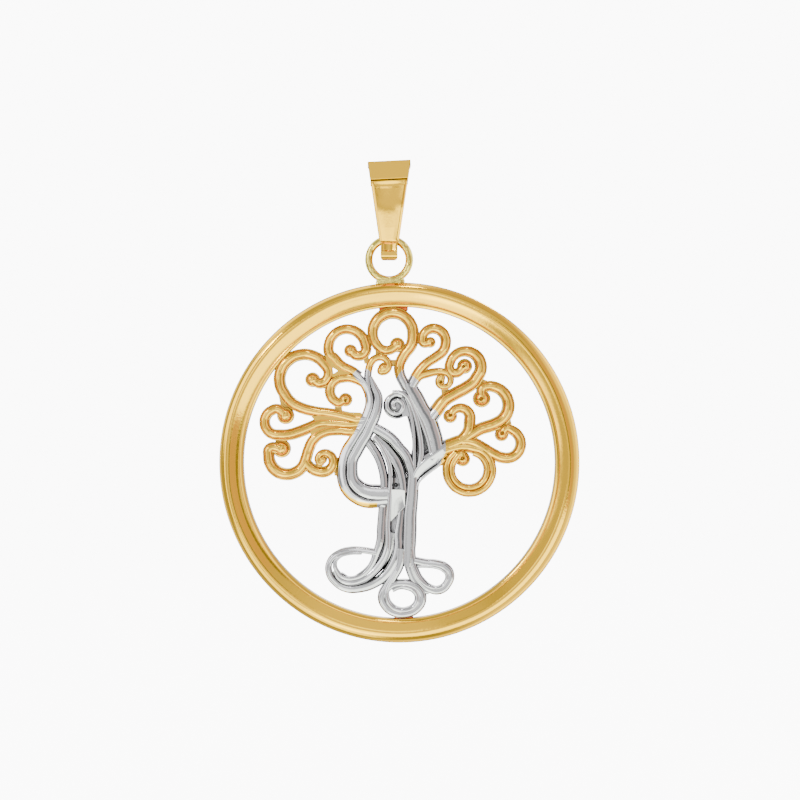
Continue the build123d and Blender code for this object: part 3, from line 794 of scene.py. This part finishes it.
def bailHalfWidth(u, v):
    widening = bail["topHalf"] - bail["waistHalf"]
    plate = bail["waistHalf"] + widening * (v - bail["lip"]) / (bail["top"] - bail["lip"])
    if v > bail["lip"] - bail["lipReach"][0]:
        return plate if u > 0 else max(plate, bail["toeHalf"])
    rise = v - bail["bottom"]
    if rise >= bail["toeRound"]:
        return bail["toeHalf"]
    fall = bail["toeRound"] - max(rise, 0)
    return bail["toeHalf"] - bail["toeRound"] + (bail["toeRound"] ** 2 - fall ** 2) ** 0.5


def acrossShares(half):
    # Shares of the half width: close together on the rim, then evenly over the plate
    rim = bail["rim"] / half
    inner = [(2 * number / bail["columns"] - 1) * (1 - rim) for number in range(bail["columns"] + 1)]
    edge = [1 - row * rim for row in bail["rimRows"]]
    return [-share for share in edge] + inner + edge[::-1]


def plateDepth(share, half, v):
    # How far the front plate stands back there, for its chamfered edges, its rims and its dish
    low, high = bail["toeDishEnds"]
    toeShare = bail["toeDishShare"]
    if bail["bottom"] + low < v < bail["lip"] - high and abs(share) < toeShare:
        return bail["toeDish"] * (1 - (share / toeShare) ** 2)
    if not bail["lip"] - bail["lipReach"][1] < v < bail["crease"]:
        return 0
    fade = min(1, (bail["crease"] - v) / bail["dishFade"])
    inset = (1 - abs(share)) * half
    rim = bail["rim"]
    chamferWidth, bevelEnd, bevelWidth = [part * rim for part in bail["rimShares"]]
    if inset < chamferWidth:
        return bail["bevel"] + bail["chamfer"] * (1 - inset / chamferWidth)
    if inset < bevelEnd:
        return bail["bevel"] * (bevelEnd - inset) / bevelWidth
    reach = (abs(share) * half / (half - rim)) ** 2
    return fade * (bail["step"] + bail["dish"] * (1 - min(1, reach)))


def makeBail():
    places = spacedAlong(roundCorners(bail["path"], bail["cornerSteps"]), bail["spacing"])
    columns = len(acrossShares(1))
    bpy.ops.mesh.primitive_grid_add(x_subdivisions=columns - 1, y_subdivisions=len(places), size=1)
    strap = added("bailStrap")
    for index, vertex in enumerate(strap.data.vertices):
        u, v = places[index // columns % len(places)]
        half = bailHalfWidth(u, v)
        share = acrossShares(half)[index % columns]
        back = plateDepth(share, half, v) if u > 0 else 0
        fade = max(0, min(1, 1 - (bail["crease"] - v) / bail["tiltFade"]))
        rise = share * half * bail["tilt"] * fade if u > 0 else 0
        vertex.co = (share * half, v + rise, u - back)
    editAll(strap)
    bpy.ops.mesh.remove_doubles(threshold=mergeWithin["strap"])
    faceOutward()
    pick(strap)
    bpy.ops.object.modifier_add(type="SOLIDIFY")
    strap.modifiers[-1].thickness = bail["wall"]
    strap.modifiers[-1].offset = -1
    bpy.ops.object.modifier_add(type="BEVEL")
    strap.modifiers[-1].width = bail["edgeBevel"]
    strap.modifiers[-1].segments = 2
    strap.modifiers[-1].limit_method = "ANGLE"
    strap.modifiers[-1].angle_limit = radians(bail["edgeAngle"])
    applyModifiers(strap)
    dropCrumbs(strap)
    smoothShade(strap, bail["smooth"])
    standUp(strap, (0, 0, 0))
    return strap


bailPiece = makeBail()
pick(*sections.values())
bpy.ops.object.delete()


# Materials
finish = {
    "paintedShadeReach": 0.0003,  # metres within which a neighbour darkens the metal with painted shade
    "paintedShadeSamples": 8,
    "paintedShadeRange": (0.25, 0.82),  # occlusion values that run from the painted shade colour in the crevices to the bright colour
    "wear": (900, 4),  # scale and detail of the noise
    "lumps": (1500, 1),
    "grainDetail": 3,
    "grainDepth": 0.00002,  # metres
}
metals = {
    # bright colour, colour of the painted shade in the crevices, range of roughness, scale and strength of
    # the cast grain, metres of the soft lumps
    "yellowGold": ((0.97, 0.56, 0.03), (0.16, 0.09, 0.01), (0.05, 0.14), 6000, 0.15, 0),
    "castGold": ((0.97, 0.57, 0.04), (0.46, 0.28, 0.06), (0.05, 0.14), 5000, 0.2, 0.00003),
    "paleGold": ((0.8, 0.63, 0.1), (0.4, 0.26, 0.03), (0.04, 0.14), 5000, 0.3, 0.00012),
    "whiteGold": ((0.65, 0.65, 0.66), (0.07, 0.07, 0.075), (0.05, 0.13), 6000, 0.1, 0.000006),
    "solderPale": ((0.82, 0.67, 0.13), (0.4, 0.28, 0.04), (0.08, 0.24), 4000, 0.8, 0),
    "solderRed": ((0.45, 0.09, 0.015), (0.2, 0.03, 0.01), (0.25, 0.5), 4000, 0.8, 0),
}


def newMaterial(name):
    material = bpy.data.materials.new(name)
    material.use_nodes = True
    graph = material.node_tree
    return material, graph, graph.nodes["Principled BSDF"]


def addNoise(graph, vector, scale, detail):
    noise = graph.nodes.new("ShaderNodeTexNoise")
    noise.inputs["Scale"].default_value = scale
    noise.inputs["Detail"].default_value = detail
    graph.links.new(vector, noise.inputs["Vector"])
    return noise


def addRange(graph, value, names, ends):
    node = graph.nodes.new("ShaderNodeMapRange")
    for name, end in zip(names, ends):
        node.inputs[name].default_value = end
    graph.links.new(value, node.inputs["Value"])
    return node


def addBump(graph, height, strength, distance):
    bump = graph.nodes.new("ShaderNodeBump")
    bump.inputs["Strength"].default_value = strength
    bump.inputs["Distance"].default_value = distance
    graph.links.new(height, bump.inputs["Height"])
    return bump


def addMath(graph, operation, *values):
    # A Math node fed by numbers, by sockets or by other nodes' first outputs
    node = graph.nodes.new("ShaderNodeMath")
    node.operation = operation
    for socket, value in zip(node.inputs, values):
        if isinstance(value, (int, float)):
            socket.default_value = value
        else:
            graph.links.new(value.outputs[0] if hasattr(value, "outputs") else value, socket)
    return node


def metal(name, bright, deep, roughness, grain, bump, lumps):
    # Polished metal: painted shade in the crevices from an occlusion node, faint wear in its gloss, soft
    # lumps, fine cast grain
    material, graph, shader = newMaterial(name)
    place = graph.nodes.new("ShaderNodeTexCoord").outputs["Object"]
    # Painted shade: where the occlusion node finds neighbours close by, in creases, pockets and under
    # strands, the colour is darkened towards the deep one
    shadeOcclusion = graph.nodes.new("ShaderNodeAmbientOcclusion")
    shadeOcclusion.samples = finish["paintedShadeSamples"]
    shadeOcclusion.inputs["Distance"].default_value = finish["paintedShadeReach"]
    depth = addRange(graph, shadeOcclusion.outputs["AO"], ("From Min", "From Max"), finish["paintedShadeRange"])
    blend = graph.nodes.new("ShaderNodeMix")
    blend.data_type = "RGBA"
    # deep is the colour of the painted shade
    blend.inputs["A"].default_value = (*deep, 1)
    blend.inputs["B"].default_value = (*bright, 1)
    graph.links.new(depth.outputs["Result"], blend.inputs["Factor"])
    graph.links.new(blend.outputs["Result"], shader.inputs["Base Color"])
    shader.inputs["Metallic"].default_value = 1
    wear = addNoise(graph, place, *finish["wear"])
    gloss = addRange(graph, wear.outputs["Fac"], ("To Min", "To Max"), roughness)
    graph.links.new(gloss.outputs["Result"], shader.inputs["Roughness"])
    fine = addNoise(graph, place, grain, finish["grainDetail"])
    relief = addBump(graph, fine.outputs["Fac"], bump, finish["grainDepth"])
    if lumps:
        soft = addNoise(graph, place, *finish["lumps"])
        swell = addBump(graph, soft.outputs["Fac"], 1, lumps)
        graph.links.new(swell.outputs["Normal"], relief.inputs["Normal"])
    graph.links.new(relief.outputs["Normal"], shader.inputs["Normal"])
    return material


finishes = {name: metal(name, *row) for name, row in metals.items()}


def dress(piece, metalName, body, node):
    piece.data.materials.clear()
    piece.data.materials.append(finishes[metalName])
    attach(piece, body)
    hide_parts(node)


dress(frameRingPiece, "yellowGold", "framed_tree", "framed_tree")
dress(branchPiece, "castGold", "framed_tree", "framed_tree")
dress(trunkPiece, "whiteGold", "framed_tree", "framed_tree")
dress(ringPiece, "paleGold", "framed_tree", "framed_tree")
dress(footPiece, "solderPale", "framed_tree", "framed_tree")
dress(jointPiece, "solderRed", "framed_tree", "framed_tree")
dress(bailPiece, "yellowGold", "bail", "bail")

# Stage: a pale floor that runs up into a backdrop
print("stage")
stage = {
    "floor": -0.0425,
    "wall": 0.4,
    "bend": 0.12,
    "half": 0.9,
    "near": -0.5,
    "rise": 0.6,
    "bendSteps": 12,
    "white": 9,  # as the camera sees it
}


def makeStage():
    profile = [(stage["near"], stage["floor"])]
    for number in range(stage["bendSteps"] + 1):
        angle = radians(90 * number / stage["bendSteps"])
        profile.append((stage["wall"] - stage["bend"] + stage["bend"] * sin(angle),
                        stage["floor"] + stage["bend"] * (1 - cos(angle))))
    profile.append((stage["wall"], stage["floor"] + stage["rise"]))
    bpy.ops.mesh.primitive_grid_add(x_subdivisions=1, y_subdivisions=len(profile) - 1, size=1)
    sweep = added("backdrop")
    for vertex in sweep.data.vertices:
        row = round((vertex.co.y + 0.5) * (len(profile) - 1))
        side = stage["half"] if vertex.co.x > 0 else -stage["half"]
        vertex.co = (side, profile[row][0], profile[row][1])
    pick(sweep)
    bpy.ops.object.shade_smooth()
    material, graph, shader = newMaterial("paperWhite")
    shader.inputs["Base Color"].default_value = (0.9, 0.9, 0.9, 1)
    shader.inputs["Roughness"].default_value = 0.9
    shader.inputs["Emission Color"].default_value = (1, 1, 1, 1)
    ray = graph.nodes.new("ShaderNodeLightPath")
    glow = addMath(graph, "MULTIPLY", ray.outputs["Is Camera Ray"], stage["white"])
    graph.links.new(glow.outputs["Value"], shader.inputs["Emission Strength"])
    sweep.data.materials.append(material)
    sweep.visible_glossy = False  # the metal shows the tent's panels instead


makeStage()

# Camera: straight on, framed as the photograph
photo = {
    "size": 800,
    "mmPerPixel": 0.06944,
    "ringX": 389.1,  # the hanging ring's centre across
    "topY": 166.8,  # the height of the chain's seat
    "lens": 120,
    "sensor": 36,
}


def makeCamera():
    half = photo["size"] / 2
    centreX = (half - photo["ringX"]) * photo["mmPerPixel"] * mm
    centreZ = (photo["topY"] - half) * photo["mmPerPixel"] * mm
    width = photo["size"] * photo["mmPerPixel"] * mm
    bpy.ops.object.camera_add()
    camera = bpy.context.object
    camera.data.lens = photo["lens"]
    camera.data.sensor_width = photo["sensor"]
    camera.data.clip_start = 0.01
    camera.data.clip_end = 10
    distance = width * photo["lens"] / photo["sensor"]
    camera.location = (centreX, -distance, centreZ)
    camera.rotation_euler = (pi / 2, 0, 0)
    bpy.context.scene.camera = camera


makeCamera()

# Lights: a light tent with curved bright and dark panels round the viewer, and small lamps for glints
print("lights")
white = (1, 1, 1)
straw = (1, 1.06, 0.92)
allRound = (-200, 200)
tent = {
    "plain": 0.12,  # the glow between the panels
    "least": 0.05,  # what the dark panels leave
    "white": 11,  # behind the pendant, as the camera sees it
    # the noise that bends the panels' edges: scale, detail, degrees off the viewer and round from the right
    "waver": (1.6, 2, 13, 22),
}
panels = [
    # name, degrees off the viewer, softness, degrees round from the right, softness, strength, tint
    ("front", (-90, 48), 5, allRound, 1, 0.78, white),
    ("viewer", (-90, 7), 3, allRound, 1, 0.4, white),
    ("lowFront", (13, 45), 5, (238, 338), 3, 3.2, straw),
    ("lowLeft", (8, 19), 3, (203, 236), 6, 2.8, straw),
    ("lowLeftFar", (30, 70), 5, (206, 264), 6, 2.6, straw),
    ("farShade", (50, 132), 8, (24, 92), 8, 0.66, (1.12, 0.95, 1)),
    ("aboveWide", (19, 40), 4, (56, 124), 10, 0.36, white),
    ("aboveNear", (6, 19), 3, (64, 100), 5, 2.2, white),
    ("leftNear", (8, 17), 3, (128, 168), 4, 2.4, white),
    ("leftFront", (34, 47), 3, (150, 205), 8, 2.6, white),
    ("amber", (21, 46), 3, (-22, 40), 2, 0.18, (0.6, -0.8, -1.2)),
    ("rightShade", (9, 19), 2, (-30, 52), 6, -0.56, white),
    ("aboveShade", (9, 46), 4, (102, 130), 5, -0.3, white),
    ("aboveMiddle", (48, 82), 6, (96, 152), 8, 0.6, white),
    ("upperLeft", (46, 78), 5, (136, 172), 8, 3, white),
    ("right", (50, 118), 8, (-70, 34), 12, 1.5, white),
    ("rightFar", (80, 126), 8, (-92, 46), 10, 1.1, white),
    ("above", (84, 125), 8, (80, 140), 8, 2.2, white),
    ("left", (50, 130), 8, (135, 285), 12, 0.45, white),
    ("rearFill", (100, 152), 8, allRound, 1, 0.3, white),
    ("rearRight", (112, 152), 6, (-32, 32), 8, 0.8, white),
    ("rearLeft", (112, 152), 6, (148, 212), 8, 0.8, white),
    ("behind", (150, 190), 6, allRound, 1, 0.8, white),
    ("behindAbove", (156, 176), 5, (50, 130), 10, 2, white),
]
lampAim = (0.0007, 0, -0.018)  # the middle of the pendant
lamps = [
    # name, place, size, strength in watts
    ("keyLamp", (-0.16, -0.2, 0.12), 0.03, 0.12),
    ("topLamp", (0.02, -0.1, 0.24), 0.03, 0.08),
    ("backLamp", (0.1, 0.22, 0.16), 0.04, 0.1),
]


def softStep(graph, value, start, end):
    edge = addRange(graph, value.outputs[0], ("From Min", "From Max"), (start, end))
    edge.interpolation_type = "SMOOTHSTEP"
    return edge


def makeTent():
    world = bpy.data.worlds.new("lightTent")
    world.use_nodes = True
    bpy.context.scene.world = world
    graph = world.node_tree
    direction = graph.nodes.new("ShaderNodeTexCoord")
    parts = graph.nodes.new("ShaderNodeSeparateXYZ")
    graph.links.new(direction.outputs["Generated"], parts.inputs[0])
    across = addMath(graph, "ARCTAN2", parts.outputs["Z"], parts.outputs["X"])
    turned = addMath(graph, "DEGREES", across)
    toViewer = addMath(graph, "MULTIPLY", parts.outputs["Y"], -1)
    off = addMath(graph, "DEGREES", addMath(graph, "ARCCOSINE", toViewer))
    scale, detail, offWaver, turnWaver = tent["waver"]
    waver = addNoise(graph, direction.outputs["Generated"], scale, detail)
    centred = addMath(graph, "SUBTRACT", waver, 0.5)
    turned = addMath(graph, "MULTIPLY_ADD", centred, turnWaver, turned)
    off = addMath(graph, "MULTIPLY_ADD", centred, offWaver, off)
    total = graph.nodes.new("ShaderNodeCombineXYZ")
    for socket in total.inputs:
        socket.default_value = tent["plain"]
    for name, (near, far), offSoft, (first, last), turnSoft, strength, tint in panels:
        past = [softStep(graph, off, edge - offSoft, edge + offSoft) for edge in (near, far)]
        shape = addMath(graph, "SUBTRACT", *past)
        if last - first < 360:
            half = (last - first) / 2
            swung = addMath(graph, "SUBTRACT", turned, (first + last) / 2)
            swung = addMath(graph, "WRAP", swung, 180, -180)
            aside = addMath(graph, "ABSOLUTE", swung)
            side = softStep(graph, aside, half + turnSoft, half - turnSoft)
            shape = addMath(graph, "MULTIPLY", shape, side)
        glow = graph.nodes.new("ShaderNodeVectorMath")
        glow.operation = "MULTIPLY_ADD"
        glow.label = name
        graph.links.new(shape.outputs[0], glow.inputs[0])
        glow.inputs[1].default_value = [strength * share for share in tint]
        graph.links.new(total.outputs[0], glow.inputs[2])
        total = glow
    floored = graph.nodes.new("ShaderNodeVectorMath")
    floored.operation = "MAXIMUM"
    floored.inputs[1].default_value = [tent["least"]] * 3
    graph.links.new(total.outputs[0], floored.inputs[0])
    ray = graph.nodes.new("ShaderNodeLightPath")
    seen = graph.nodes.new("ShaderNodeMix")
    seen.data_type = "RGBA"
    seen.inputs["B"].default_value = [tent["white"]] * 3 + [1]
    graph.links.new(ray.outputs["Is Camera Ray"], seen.inputs["Factor"])
    graph.links.new(floored.outputs[0], seen.inputs["A"])
    graph.links.new(seen.outputs["Result"], graph.nodes["Background"].inputs["Color"])


def makeLamps():
    for name, place, size, strength in lamps:
        bpy.ops.object.light_add(type="AREA", location=place)
        lamp = added(name)
        lamp.data.size = size
        lamp.data.energy = strength
        aim = [there - here for there, here in zip(lampAim, place)]
        lamp.rotation_euler = (atan2(hypot(aim[0], aim[1]), -aim[2]), 0, atan2(aim[1], aim[0]) - pi / 2)


makeTent()
makeLamps()
